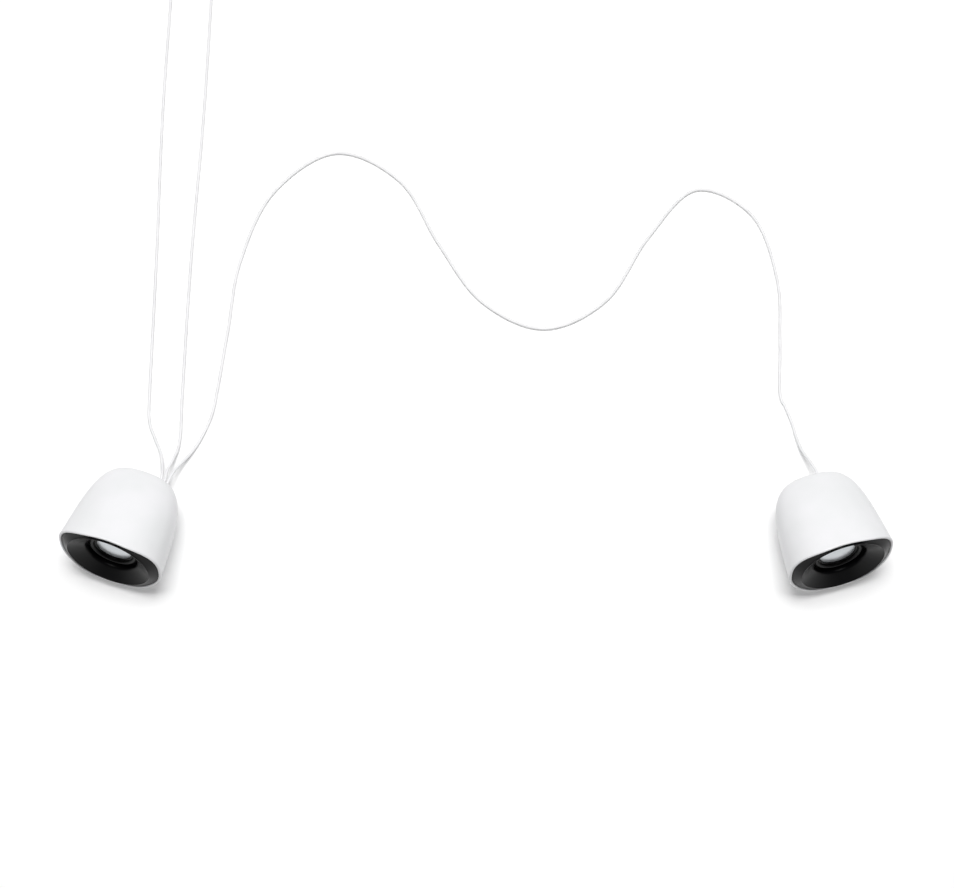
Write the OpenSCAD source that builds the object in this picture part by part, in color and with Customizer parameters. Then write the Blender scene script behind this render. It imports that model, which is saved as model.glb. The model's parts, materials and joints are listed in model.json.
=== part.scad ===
// A pair of small desktop speakers: an active left one, a passive right one, and their cords.
//
// Each speaker is modelled on its driver axis: +Z comes out of the front, +Y is up and
// the centre of the front rim is the origin. speaker() then tips, turns and stands it.
// Cords and plugs lie on the desk and are modelled where they lie.

/* [Pair] */
// Distance between the front rims of the two speakers
speaker_spacing = 549; // [400:1:900]
// How much nearer to the listener the right speaker stands
right_forward = 3.3; // [-20:0.1:20]
// Toe-out of the left speaker, in degrees
left_yaw = 17.5; // [5:0.5:25]
// Toe-out of the right speaker, in degrees
right_yaw = 15; // [5:0.5:25]
// How far the fronts lean back, in degrees
face_tilt = 15; // [10:0.5:18]

/* [Housing] */
// Outer width of the front rim
rim_w = 81; // [79:0.5:90]
// Outer height of the front rim
rim_h = 70.6; // [70:0.2:76]
// Depth from the front rim to the back
body_depth = 74; // [72:0.5:84]
// Thickness of the moulded wall
wall = 2.2; // [1.8:0.1:2.6]
// Thickness of the rounded lip round the front
lip_t = 2; // [1.6:0.1:2.4]
// How far the sides of the rim are swept back
sweep = 2.7; // [1:0.1:4]
// How far the lip swells forward between its middle and its sides
lip_swell = 1; // [0:0.1:1.4]
// Share of its width that the body loses towards the back
plan_taper = 0.16; // [0.1:0.01:0.2]
// Share of its height that the body loses towards the back
height_taper = 0.23; // [0.15:0.01:0.26]
// Squareness of the body's section, where 2 is an ellipse
section_n = 2.45; // [2.3:0.05:2.8]
// Squareness of the rounded back, where 2 is an ellipse
back_n = 4.3; // [3.8:0.1:5]
// Depth at which the ledge carries the front panel
ledge_depth = 4; // [3:0.1:5]

/* [Front panel] */
// Gap between the front panel and the lip
panel_gap = 0.2; // [0.1:0.05:0.4]
// Radius of the opening that shows the driver
opening_r = 20.3; // [20.1:0.1:20.8]
// Depth of the dish at that opening
dish_depth = 4.5; // [3.5:0.1:5]
// Depth of the flat seat behind the panel that the driver is screwed to
seat_depth = 9.5; // [9:0.1:10]

/* [Driver] */
// Outer radius of the basket's flange
flange_r = 28; // [27:0.1:28.5]
// Thickness of the flange
flange_t = 1.4; // [1.2:0.1:2]
// Thickness of the foam gasket
gasket_t = 0.5; // [0.3:0.1:1]
// Mean radius of the surround's half roll
roll_r = 17.2; // [17.1:0.1:17.6]
// Radius of the half roll's own arc
roll_arc = 1.9; // [1.6:0.1:2]
// Radius of the dust cap
cap_r = 13.6; // [12.5:0.1:13.6]
// Rise of the dust cap's dome
cap_rise = 2.4; // [1.6:0.1:3]
// Depth of the cone from its edge to its neck
cone_depth = 7.4; // [7:0.1:8]
// Radius of the voice coil former
former_r = 9; // [8.6:0.1:9.2]
// Thickness of paper, foil and rubber parts
skin = 0.4; // [0.3:0.05:0.5]
// Depth from the flange's back to the magnet's top plate
basket_depth = 13.2; // [13:0.1:15]
// Outer radius of the ferrite magnet
magnet_r = 22; // [20.5:0.1:22.5]
// Thickness of the ferrite magnet
magnet_t = 8; // [7:0.1:8.5]
// Thickness of the steel plates on the magnet
plate_t = 3; // [2.8:0.1:3.4]
// Travel of the cone each way
travel = 1.5; // [1:0.1:1.6]

/* [Volume control] */
// Radius of the volume knob
knob_r = 7; // [6:0.1:7.6]
// Height of the volume knob
knob_h = 5.1; // [4.5:0.1:6]
// Depth of the round pocket that the knob sits in
pocket_depth = 3; // [2.6:0.1:3.4]
// Radius of the control shaft
shaft_r = 3; // [2.5:0.1:3.2]

/* [Circuit board] */
// Width of the board
board_w = 42; // [40:0.5:43]
// Height of the board
board_h = 30; // [28:0.5:31]
// Thickness of the board
board_t = 1.6; // [1.2:0.1:2]

/* [Base and feet] */
// Width of the flat base under the housing
base_w = 38; // [34:0.5:42]
// Length of the base
base_l = 52; // [48:0.5:56]
// Height of the housing's lowest point above the base's underside
base_rise = 1.7; // [1.2:0.1:3]
// Height of the rubber feet under the base
foot_h = 1.5; // [1:0.1:3]
// Radius of the rubber feet
foot_r = 4.5; // [3.5:0.1:5]

/* [Cords] */
// Diameter of the cords
cord_d = 2.4; // [2:0.1:2.6]
// Mean radius of a coil of spare cord
coil_r = 14.4; // [13:0.1:16]
// Turns of a coil that lie beside each other
coil_across = 4; // [3:1:5]
// Layers of a coil
coil_layers = 2; // [1:1:3]

/* [Hidden] */
SIDES = ["left", "right"];
SHARED = [
    "housing", "front_panel", "driver_gasket", "driver_basket", "surround", "cone", "dust_cap",
    "coil_former", "voice_coil", "spider", "top_plate", "magnet", "yoke", "terminal_board",
    "terminal_lugs", "driver_screws", "feet", "cord_grommet", "driver_leads"
];
LEFT_ONLY = [
    "circuit_board", "amplifier_chip", "board_capacitors", "lead_connector", "volume_control",
    "volume_shaft", "volume_knob", "board_screws", "cord_tails"
];
CORDS = [
    "link_cord", "usb_cord", "usb_coil", "usb_tie", "usb_plug_grip", "usb_plug_shell",
    "audio_cord", "audio_coil", "audio_tie", "audio_plug_grip", "audio_plug_pin"
];

// Colours
shell_white = [0.95, 0.95, 0.96];
panel_black = [0.07, 0.07, 0.08];
cap_silver = [0.72, 0.75, 0.78];
cord_white = [0.93, 0.93, 0.93];

$fn = 72;
ring_points = 56;
eps = 0.01;

// Centre of the pair, so that the box round both speakers stands on the origin
pair_x = -0.3;
pair_y = -29.6;

// Body rings, from the front rim to the back, as shares of the depth
BODY_STEPS = [0.03, 0.14, 0.28, 0.42, 0.56, 0.68, 0.78, 0.86, 0.92, 0.96, 0.985];
CAVITY_STEPS = [0.12, 0.3, 0.48, 0.64, 0.77, 0.87, 0.94, 0.98];

// Width of the ledge and thickness of its rib
ledge_w = 1.6;
ledge_t = 2;
dish_gap = 0.3;
dish_rise = 0.4;
dish_r = rim_h / 2 - lip_t - panel_gap - dish_gap;
dish_t = 1.8;
edge_drop = 0.9;
rest_gap = 0.02;
throat_r = 2.4;
hook_w = 8;

// Depths along the driver axis, measured back from the rim
gasket_back = seat_depth + gasket_t;
surround_back = gasket_back + skin;
flange_back = gasket_back + flange_t;
edge_depth = surround_back;
cone_top = edge_depth + skin;
neck_depth = cone_top + cone_depth;
spider_depth = neck_depth + 0.6;
magnet_front = flange_back + basket_depth;
gap_back = magnet_front + plate_t;
magnet_back = gap_back + magnet_t;
yoke_back = magnet_back + plate_t;
former_back = gap_back + travel + 0.3;
winding_back = former_back - 0.3;
winding_t = 0.55;
winding_l = plate_t + 2 * travel;
coil_gap = 0.45;

// Radii of the driver's rings
edge_r = roll_r - roll_arc - skin / 2;
lip_r = edge_r - 1.3;
surround_foot_in = roll_r + roll_arc - skin / 2;
surround_foot_w = 3.2;
surround_foot_out = surround_foot_in + surround_foot_w;
basket_r = surround_foot_out - 0.4;
basket_neck_r = 19.6;
basket_wall = 1;
screw_circle_r = 25.6;
pole_r = former_r - skin / 2 - 0.4;
vent_r = 2;

ledge_front = spider_depth + skin;
ledge_back = ledge_front + basket_wall;
ledge_in = 16.8;
ledge_out = 20.4;
neck_hole_r = former_r + winding_t + 1;
window_w = 16;
wave_h = 0.5;

// Terminals at the basket's foot
lug_x = 3;
lug_y = 25.1;
lug_l = 4;
lug_board_t = 1.2;
lug_board_w = 12;
lug_back = flange_back + lug_board_t + lug_l;
lead_r = 0.6;

// Screws
thread_gap = 0.05;
screw_r = 1.1;
screw_hole_r = 1.5;
head_r = 2.1;
head_h = 1.4;
driver_bite = 2.2;

// Cord outlet in the back
outlet_x = 11.3;
outlet_y = -9;
nose_pitch = cord_d + 0.6;
nose_r = cord_d / 2 + 0.5;
nose_l = 7;
grommet_r = cord_d / 2 + 0.8;
grommet_flange = 1.2;

// Volume control in the back
knob_x = -10;
knob_y = -2;
pocket_r = knob_r + 2;
pocket_wall = 2;
pocket_floor = body_depth - pocket_depth;
knob_front = pocket_floor + 0.4;
knob_back = knob_front + knob_h;
shaft_gap = 0.05;
shaft_seat = 4;
grip_cuts = 24;
control_back = pocket_floor - pocket_wall - 0.3;
control_w = 9.5;
control_h = 11;
control_t = 6.5;

// Circuit board on its posts
board_back = control_back - control_t;
board_front = board_back - board_t;
board_corner = 3;
POSTS = [[-18, 11.5], [18, 8], [-15, -12]];
post_r = 2.6;
screw_bite = 4;
connector_at = [12, -9];
connector_h = 6;

// Base and feet, where y is the distance behind the rim's centre
base_y = 30;
foot_recess = 0.5;
foot_edge = 3.4;
FEET = [for (x = [-1, 1], y = [-1, 1]) [x * (base_w / 2 - foot_r - foot_edge), base_y + y * (base_l / 2 - foot_r - 6.5)]];

// Cords, coils and plugs on the desk, from a point between the fronts
cord_r = cord_d / 2;
lie = cord_r;
ring_gap = 45;
tie_t = 0.6;
tie_w = 4;
tie_gap = 0.1;
coil_w = coil_across * cord_d;
coil_h = coil_layers * cord_d;
coil_top = tie_t + coil_h;
usb_coil_at = [-205, 523];
audio_coil_at = [-275, 523];
usb_shell_w = 12;
usb_shell_h = 4.5;
usb_shell_l = 12;
usb_shell_t = 0.4;
grip_wall = 1.8;
usb_grip_l = 26;
usb_tail_l = 10;
tongue_w = 10.8;
usb_grip_w = usb_shell_w + 2 * grip_wall;
usb_grip_h = usb_shell_h + 2 * grip_wall;
usb_plug_at = [-168, 545, usb_grip_h / 2];
audio_pin_r = 1.75;
audio_pin_l = 14;
audio_grip_r = 3.6;
audio_grip_l = 20;
audio_tail_l = 8;
audio_plug_at = [-278, 559, audio_grip_r];
cord_bore = 4;
bore_gap = 0.03;

LINK_ROUTE = [
    [-238.6, 66.4, 14.6], [-237.5, 70.1, 13.6], [-234.3, 78, 11], [-228.8, 87, 6.5],
    [-222.3, 96, 3], [-215, 109, lie], [-208, 127, lie], [-204.5, 147, lie], [-198, 197, lie],
    [-190, 257, lie], [-165, 317, lie], [-115, 352, lie], [-62, 327, lie], [-30, 272, lie],
    [5, 222, lie], [55, 199, lie], [105, 223, lie], [140, 277, lie], [180, 319, lie],
    [225, 297, lie], [243, 242, lie], [243, 187, lie], [241, 146, lie], [245, 133, lie],
    [249.5, 120, lie], [252, 109, 1.8], [255.2, 98, 4.5], [259.7, 88.5, 8.5], [263.7, 80, 12],
    [265.3, 75, 13.6], [266.4, 71.3, 14.6]
];
USB_ROUTE = [
    [-241.4, 67.3, 14.6], [-240.3, 71, 13.6], [-239.4, 79, 10.8], [-236.3, 89, 6],
    [-233.3, 99, 2.6], [-232, 111, lie], [-232, 127, lie], [-232, 147, lie], [-230, 257, lie],
    [-225, 387, lie], [-223, 497, 1.4], [-223, 513, 1.8]
];
USB_TAIL = [
    [-195.5, 541.4, 4.2], [-190, 542.6, 4.15], [-185.5, 544.4, 4.1], [-181.5, 545, 4.05], [-177.5, 545, 4.05],
    [-174, 545, 4.05]
];
AUDIO_ROUTE = [
    [-244.3, 68.2, 14.6], [-243.2, 71.9, 13.6], [-243, 79, 11], [-244.8, 88, 6.5],
    [-246.8, 96, 3.2], [-252, 108, 1.3], [-257, 122, lie], [-258, 147, lie], [-258, 257, lie],
    [-259, 387, lie], [-257, 497, 1.4], [-257, 513, 1.8]
];
AUDIO_TAIL = [
    [-284.5, 541.4, 4.2], [-289, 541.9, 4.15], [-294.2, 544.6, 4.1], [-296.8, 550.2, 3.9], [-294.5, 556.2, 3.7],
    [-289.5, 559, 3.6], [-285.5, 559, 3.6], [-282, 559, 3.6]
];

// Curves and lofted skins

// A power that keeps the sign of what it raises
function signed_power(v, e) = sign(v) * pow(abs(v), e);

// Superellipse, w wide and h high
function section(w, h) = [
    for (i = [0:ring_points - 1])
        let(t = 360 * i / ring_points)
            [w / 2 * signed_power(cos(t), 2 / section_n), h / 2 * signed_power(sin(t), 2 / section_n)]
];

// How far the lip lies behind its middle at x: it swells forward first and then sweeps back
function lip_drop(x) = sweep * pow(2 * x / rim_w, 2) - lip_swell * pow(sin(360 * x / rim_w), 2);

// Section at depth z, swept back by a share of what the rim is
function swept_ring(w, h, z, share) = [
    for (p = section(w, h)) [p[0], p[1], z - share * lip_drop(p[0])]
];

// Ring that lies inset from the rim's outside
function rim_ring(inset, z) = swept_ring(rim_w - 2 * inset, rim_h - 2 * inset, z, 1);

// Circle with as many points as a section
function circle_ring(r, z) = [
    for (i = [0:ring_points - 1]) let(t = 360 * i / ring_points) [r * cos(t), r * sin(t), z]
];

// Share of its rim size that the body keeps at share u of its depth, without the taper
function back_round(u) = pow(1 - pow(u, back_n), 1 / back_n);
function plan_share(u) = (1 - plan_taper * u) * back_round(u);
function height_share(u) = (1 - height_taper * u) * back_round(u);

// Ring of a body w wide, h high and d deep, at share u of its depth
function body_ring(w, h, d, u) = swept_ring(w * plan_share(u), h * height_share(u), -d * u, 1 - u);

function backwards(list) = [for (i = [len(list) - 1:-1:0]) list[i]];

// Solid skinned over rings that run from the back to the front, or along a path.
// Its ends are closed by the points head and tail, or flat where these are left out.
module loft(rings, head, tail, loop = false) {
    n = len(rings[0]);
    m = len(rings);
    points = concat([for (ring = rings) each ring], is_undef(head) ? [] : [head, tail]);
    sides = [
        for (j = [0:m - (loop ? 1 : 2)], i = [0:n - 1])
            let(next = (i + 1) % n, up = (j + 1) % m) [j * n + i, up * n + i, up * n + next, j * n + next]
    ];
    last = (m - 1) * n;
    ends = loop ? []
        : is_undef(head) ? [[for (i = [0:n - 1]) i], [for (i = [n - 1:-1:0]) last + i]]
        : concat(
            [for (i = [0:n - 1]) [m * n, i, (i + 1) % n]],
            [for (i = [0:n - 1]) [m * n + 1, last + (i + 1) % n, last + i]]
        );
    polyhedron(points = points, faces = concat(sides, ends), convexity = 6);
}

// Points of an arc in a plane, from angle a to angle b
function arc(centre, r, a, b, steps = 10) = [
    for (i = [0:steps]) let(t = a + (b - a) * i / steps) centre + r * [cos(t), sin(t)]
];

// Smooth curve through a route's points, with a point at least every ring_gap
function curve_point(a, b, c, d, t) =
    0.5 * (2 * b + (c - a) * t + (2 * a - 5 * b + 4 * c - d) * t * t + (3 * b - a - 3 * c + d) * t * t * t);
function smooth(route, gap = ring_gap) = [
    for (i = [0:len(route) - 2])
        let(a = route[max(i - 1, 0)], b = route[i], c = route[i + 1], d = route[min(i + 2, len(route) - 1)])
            for (k = [0:ceil(norm(c - b) / gap) - 1])
                curve_point(a, b, c, d, k / ceil(norm(c - b) / gap)),
    route[len(route) - 1]
];

function unit(v) = v / norm(v);
function heading(path, i) = unit(path[min(i + 1, len(path) - 1)] - path[max(i - 1, 0)]);

// Round tube swept along a path, which nowhere runs along across
module tube(path, r, across = [0, 0, 1], sides = 8) {
    loft([
        for (i = [0:len(path) - 1])
            let(t = heading(path, i), s = unit(cross(t, across)), u = cross(t, s))
                [for (k = [0:sides - 1]) let(a = 360 * k / sides) path[i] + r * (cos(a) * s + sin(a) * u)]
    ]);
}

// Standing and placing

// Lowest point of the body below the rim's centre, once it leans back
body_low = min([
    for (u = [0.1:0.05:0.9], p = body_ring(rim_w, rim_h, body_depth, u))
        p[1] * cos(face_tilt) + p[2] * sin(face_tilt)
]);
face_height = foot_h + base_rise - body_low;

// Stands a speaker in its place in the pair
module speaker(side) {
    left = side == "left";
    place = left ? [-speaker_spacing / 2, 0] : [speaker_spacing / 2, -right_forward];
    translate([pair_x + place[0], pair_y + place[1], face_height])
        rotate([0, 0, left ? -left_yaw : right_yaw])
            rotate([90 - face_tilt, 0, 0])
                children();
}

// Lays cords, coils and plugs on the desk
module on_desk() {
    translate([pair_x, pair_y, 0]) children();
}

// Takes what is modelled upright on the desk into the speaker's own frame
module upright() {
    rotate([face_tilt - 90, 0, 0]) translate([0, 0, -face_height]) children();
}

// Holds children at a depth behind the rim, with their own +Z still to the front
module at_depth(x, y, depth) {
    translate([x, y, -depth]) children();
}

// Slot with round ends for count cords side by side
module cord_slot(count, r, h) {
    half = (count - 1) / 2 * nose_pitch;
    for (i = [0:count - 1]) translate([i * nose_pitch - half, 0, 0]) cylinder(r = r, h = h);
    if (count > 1) translate([-half, -r, 0]) cube([2 * half, 2 * r, h]);
}

function cord_count(side) = side == "left" ? 3 : 1;

// Housing

outlet_seat = body_depth - wall;
outlet_inner = outlet_seat - 2;

function shell_rings() = concat(
    [for (u = backwards(BODY_STEPS)) body_ring(rim_w, rim_h, body_depth, u)],
    [for (p = arc([lip_t / 2, -lip_t / 2], lip_t / 2, 180, 0, 4)) rim_ring(p[0], p[1])],
    [
        rim_ring(lip_t, -ledge_depth), rim_ring(lip_t + ledge_w, -ledge_depth),
        rim_ring(lip_t + ledge_w, -ledge_depth - ledge_t), rim_ring(wall + 0.3, -ledge_depth - ledge_t - 0.1)
    ],
    [for (u = CAVITY_STEPS) body_ring(rim_w - 2 * wall, rim_h - 2 * wall, body_depth - wall, u)]
);

// Solid that ends in the middle of the wall, which trims posts and bosses
module wall_middle() {
    loft(
        [for (u = backwards(BODY_STEPS)) body_ring(rim_w - wall, rim_h - wall, body_depth - wall / 2, u)],
        [0, 0, wall / 2 - body_depth], [0, 0, -lip_t]
    );
}

module volume_pocket_wall() {
    at_depth(knob_x, knob_y, body_depth) cylinder(r = pocket_r + pocket_wall, h = pocket_depth + pocket_wall);
}

module board_posts() {
    for (p = POSTS) at_depth(p[0], p[1], body_depth) cylinder(r = post_r, h = body_depth - board_back);
}

module outlet_pad(side) {
    at_depth(outlet_x, outlet_y, body_depth) cord_slot(cord_count(side), grommet_r + 2, body_depth - outlet_inner);
}

// Flat base with round ends, moulded on under the body
module base() {
    reach = (base_l - base_w) / 2;
    h = face_height + body_low + base_w / 2;
    difference() {
        upright() translate([0, base_y, foot_h]) {
            for (y = [-reach, reach]) translate([0, y, 0]) cylinder(r = base_w / 2, h = h);
            translate([-base_w / 2, -reach, 0]) cube([base_w, 2 * reach, h]);
        }
        wall_middle();
    }
}

module housing(side) {
    left = side == "left";
    color(shell_white) difference() {
        union() {
            loft(shell_rings(), [0, 0, -body_depth], [0, 0, wall - body_depth]);
            base();
            intersection() {
                union() {
                    outlet_pad(side);
                    if (left) {
                        volume_pocket_wall();
                        board_posts();
                    }
                }
                wall_middle();
            }
        }
        for (f = FEET) upright() translate([f[0], f[1], foot_h - 1]) cylinder(r = foot_r + 0.1, h = foot_recess + 1);
        at_depth(outlet_x, outlet_y, body_depth + 1) cord_slot(cord_count(side), grommet_r, 12);
        at_depth(outlet_x, outlet_y, body_depth + 1)
            cord_slot(cord_count(side), grommet_r + grommet_flange, body_depth + 1 - outlet_seat);
        at_depth(outlet_x, outlet_y, outlet_inner)
            cord_slot(cord_count(side), grommet_r + grommet_flange, grommet_flange + 1);
        if (left) {
            at_depth(knob_x, knob_y, body_depth + 1) cylinder(r = pocket_r, h = pocket_depth + 1);
            at_depth(knob_x, knob_y, body_depth) cylinder(r = shaft_r + 0.6, h = 12);
            for (p = POSTS) at_depth(p[0], p[1], board_back + screw_bite + 1) cylinder(r = screw_r + thread_gap, h = 12);
        }
    }
}

// Front panel

// Profile of the dish, as radius and height
function dish_profile() = concat(
    [[opening_r, -seat_depth]], arc([opening_r + throat_r, -dish_depth - throat_r], throat_r, 180, 115, 6),
    [
        [dish_r - 0.7, dish_rise - 0.15], [dish_r - 0.4, dish_rise], [dish_r, dish_rise - 0.3],
        [dish_r, -dish_t - 0.6], [flange_r + 0.6, -dish_t - 1.1], [flange_r + 0.6, -seat_depth]
    ]
);

// Skirt between the round dish and the squarer rim
function skirt_rings() = [
    rim_ring(lip_t + panel_gap + 1.2, rest_gap - ledge_depth),
    rim_ring(lip_t + panel_gap, rest_gap - ledge_depth),
    rim_ring(lip_t + panel_gap, -edge_drop),
    rim_ring(lip_t + panel_gap + 0.5, 0.4 - edge_drop),
    circle_ring(dish_r - 0.1, dish_rise - 0.4),
    circle_ring(dish_r - 1, -0.6),
    circle_ring(dish_r - 1, -dish_t + 0.1)
];

// Snap hook that reaches behind the housing's ledge, dist from the axis
module snap_hook(dist, drop) {
    tip = -ledge_depth - ledge_t - 1.4 - drop;
    translate([dist - 1.5, -hook_w / 2, tip]) cube([1.3, hook_w, -dish_t - 0.2 - drop / 2 - tip]);
    translate([dist - 0.3, -hook_w / 2, tip]) cube([0.7, hook_w, 1.2]);
}

module front_panel() {
    side_reach = rim_w / 2 - lip_t - ledge_w;
    top_reach = rim_h / 2 - lip_t - ledge_w;
    color(panel_black) difference() {
        union() {
            rotate_extrude() polygon(dish_profile());
            loft(skirt_rings(), loop = true);
            for (a = [0, 180]) rotate([0, 0, a]) snap_hook(side_reach, lip_drop(side_reach));
            for (a = [90, 270]) rotate([0, 0, a]) snap_hook(top_reach, 0);
        }
        driver_holes() at_depth(0, 0, seat_depth + 1) cylinder(r = screw_r + thread_gap, h = driver_bite + 1.2);
    }
}

// Driver

module driver_holes() {
    for (a = [45:90:315]) rotate([0, 0, a]) translate([screw_circle_r, 0, 0]) children();
}

module driver_gasket() {
    color([0.2, 0.2, 0.2]) difference() {
        at_depth(0, 0, gasket_back) cylinder(r = flange_r - 0.5, h = gasket_t);
        at_depth(0, 0, gasket_back + 1) cylinder(r = opening_r + 0.3, h = gasket_t + 2);
        driver_holes() at_depth(0, 0, gasket_back + 1) cylinder(r = screw_hole_r, h = gasket_t + 2);
    }
}

module driver_basket() {
    inner = surround_foot_in + 0.8;
    color([0.25, 0.25, 0.27]) difference() {
        rotate_extrude() polygon([
            [inner, -surround_back], [surround_foot_out + 0.1, -surround_back], [surround_foot_out + 0.1, -gasket_back],
            [flange_r, -gasket_back], [flange_r, -flange_back], [basket_r, -flange_back],
            [ledge_out, -ledge_front], [ledge_out, -ledge_back], [basket_neck_r, -magnet_front],
            [neck_hole_r, -magnet_front], [neck_hole_r, basket_wall - magnet_front],
            [basket_neck_r - basket_wall, basket_wall - magnet_front], [ledge_out - basket_wall, -ledge_back],
            [ledge_in, -ledge_back], [ledge_in, -ledge_front], [ledge_out - basket_wall, -ledge_front],
            [inner, -flange_back]
        ]);
        driver_holes() at_depth(0, 0, flange_back + 1) cylinder(r = screw_hole_r, h = flange_t + 2);
        for (a = [0:90:270])
            rotate([0, 0, a]) translate([15, -window_w / 2, 1 - ledge_front])
                cube([12, window_w, ledge_front - flange_back - 2]);
    }
}

module surround() {
    centre = [roll_r, -gasket_back - skin / 2];
    outer = roll_arc + skin / 2;
    inner = roll_arc - skin / 2;
    a = asin(skin / 2 / outer);
    b = asin(skin / 2 / inner);
    color([0.1, 0.1, 0.1]) rotate_extrude() polygon(concat(
        [[surround_foot_out, -surround_back], [surround_foot_out, -gasket_back]],
        arc(centre, outer, a, 180 - a, 14),
        [[lip_r, -gasket_back], [lip_r, -surround_back]],
        arc(centre, inner, 180 + b, -b, 14)
    ));
}

module cone() {
    color([0.12, 0.12, 0.12]) rotate_extrude() polygon([
        [lip_r, -edge_depth], [edge_r, -edge_depth], [edge_r, -cone_top], [lip_r + 0.2, -cone_top],
        [former_r, -neck_depth], [former_r, skin * 1.5 - neck_depth]
    ]);
}

// Depth of the cone's front face at radius r
function cone_face(r) =
    edge_depth + (lip_r - r) / (lip_r - former_r) * (neck_depth - skin * 1.5 - edge_depth);

module dust_cap() {
    ball = (cap_r * cap_r + cap_rise * cap_rise) / (2 * cap_rise);
    half = asin(cap_r / ball);
    low = -cone_face(cap_r);
    centre = [0, low + cap_rise - ball];
    inner = asin((cap_r - skin) / ball);
    color(cap_silver) rotate_extrude() polygon(concat(
        arc(centre, ball, 90 - half, 90, 12),
        arc(centre - [0, skin], ball, 90, 90 - inner, 12),
        [[cap_r - skin, low]]
    ));
}

module coil_former() {
    color([0.55, 0.4, 0.25]) difference() {
        at_depth(0, 0, former_back) cylinder(r = former_r, h = former_back - neck_depth + skin * 1.5);
        at_depth(0, 0, former_back + 1) cylinder(r = former_r - skin / 2, h = former_back);
    }
}

module voice_coil() {
    color([0.75, 0.45, 0.25]) difference() {
        at_depth(0, 0, winding_back) cylinder(r = former_r + winding_t, h = winding_l);
        at_depth(0, 0, winding_back + 1) cylinder(r = former_r, h = winding_l + 2);
    }
}

module spider() {
    waves = 4;
    steps = 32;
    flat = 1.2;
    span = ledge_in - former_r - 2 * flat;
    mid = -spider_depth - skin / 2;
    wave = [
        for (i = [0:steps])
            [former_r + flat + span * i / steps, mid + wave_h * sin(360 * waves * i / steps)]
    ];
    color([0.75, 0.6, 0.35]) rotate_extrude() polygon(concat(
        [[former_r, mid + skin / 2]],
        [for (p = wave) p + [0, skin / 2]],
        [[ledge_out - basket_wall - 0.3, mid + skin / 2], [ledge_out - basket_wall - 0.3, mid - skin / 2]],
        [for (p = backwards(wave)) p - [0, skin / 2]],
        [[former_r, mid - skin / 2]]
    ));
}

module top_plate() {
    color([0.6, 0.6, 0.62]) difference() {
        at_depth(0, 0, gap_back) cylinder(r = magnet_r - 2, h = plate_t);
        at_depth(0, 0, gap_back + 1) cylinder(r = former_r + winding_t + coil_gap, h = plate_t + 2);
    }
}

module magnet() {
    color([0.2, 0.2, 0.22]) difference() {
        at_depth(0, 0, magnet_back) cylinder(r = magnet_r, h = magnet_t);
        at_depth(0, 0, magnet_back + 1) cylinder(r = former_r + winding_t + 2, h = magnet_t + 2);
    }
}

module yoke() {
    color([0.6, 0.6, 0.62]) rotate_extrude() polygon([
        [vent_r, -magnet_front - 0.2], [pole_r, -magnet_front - 0.2], [pole_r, -magnet_back],
        [magnet_r - 1, -magnet_back], [magnet_r - 1, 0.8 - yoke_back], [magnet_r - 1.8, -yoke_back],
        [vent_r, -yoke_back]
    ]);
}

module terminal_board() {
    color([0.45, 0.25, 0.12]) at_depth(0, -lug_y, flange_back + lug_board_t)
        translate([-lug_board_w / 2, -2.1, 0]) cube([lug_board_w, 4.2, lug_board_t]);
}

module terminal_lugs() {
    color([0.8, 0.65, 0.3]) for (s = [-1, 1])
        at_depth(s * lug_x, -lug_y, lug_back) translate([-1, -0.7, 0]) cube([2, 1.4, lug_l]);
}

module driver_screws() {
    color([0.7, 0.7, 0.72]) driver_holes() {
        at_depth(0, 0, flange_back) cylinder(r = screw_r, h = flange_back - seat_depth + driver_bite);
        rotate_extrude() polygon([
            [0, -flange_back], [head_r, -flange_back], [head_r, -flange_back - head_h / 2],
            [head_r - 0.5, -flange_back - head_h], [0, -flange_back - head_h]
        ]);
    }
}

// Two thin leads that end on the terminal lugs
module driver_leads(side) {
    left = side == "left";
    color([0.7, 0.1, 0.1]) for (s = [-1, 1]) {
        from = left ? [connector_at[0] + s * 1.4, connector_at[1], connector_h - board_front]
            : [outlet_x + s * 0.7, outlet_y, grommet_flange - outlet_inner];
        tube(smooth([
            from, from + [0, 0, 3], [13 + s, -18, -42], [11 + s, -24, -32],
            [4 + s * lug_x, -lug_y - 0.5, -24], [s * lug_x, -lug_y, -lug_back - 3], [s * lug_x, -lug_y, -lug_back]
        ], 8), lead_r, [1, 0, 0]);
    }
}

// Circuit board and volume control

module circuit_board() {
    color([0.1, 0.35, 0.2]) difference() {
        at_depth(0, 0, board_back) linear_extrude(board_t) intersection() {
            square([board_w, board_h], center = true);
            rotate(45) square((board_w + board_h - 2 * board_corner) / sqrt(2), center = true);
        }
        for (p = POSTS) at_depth(p[0], p[1], board_back + 1) cylinder(r = screw_hole_r, h = board_t + 2);
    }
}

module board_screws() {
    color([0.7, 0.7, 0.72]) for (p = POSTS) {
        at_depth(p[0], p[1], board_back + screw_bite) cylinder(r = screw_r, h = screw_bite + board_t);
        at_depth(p[0], p[1], board_front) cylinder(r1 = head_r, r2 = head_r - 0.5, h = head_h);
    }
}

module amplifier_chip() {
    color([0.12, 0.12, 0.12]) at_depth(-2, -8, board_front) translate([-5, -2.5, 0]) cube([10, 5, 1.8]);
}

module board_capacitors() {
    color([0.2, 0.25, 0.4]) for (c = [[-8, 8, 3.2, 9], [2, 6, 3.2, 9], [10, 2, 2.5, 7]])
        at_depth(c[0], c[1], board_front) cylinder(r = c[2], h = c[3]);
}

module lead_connector() {
    color([0.9, 0.9, 0.85]) at_depth(connector_at[0], connector_at[1], board_front)
        translate([-3.5, -2.5, 0]) cube([7, 5, connector_h]);
}

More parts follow.
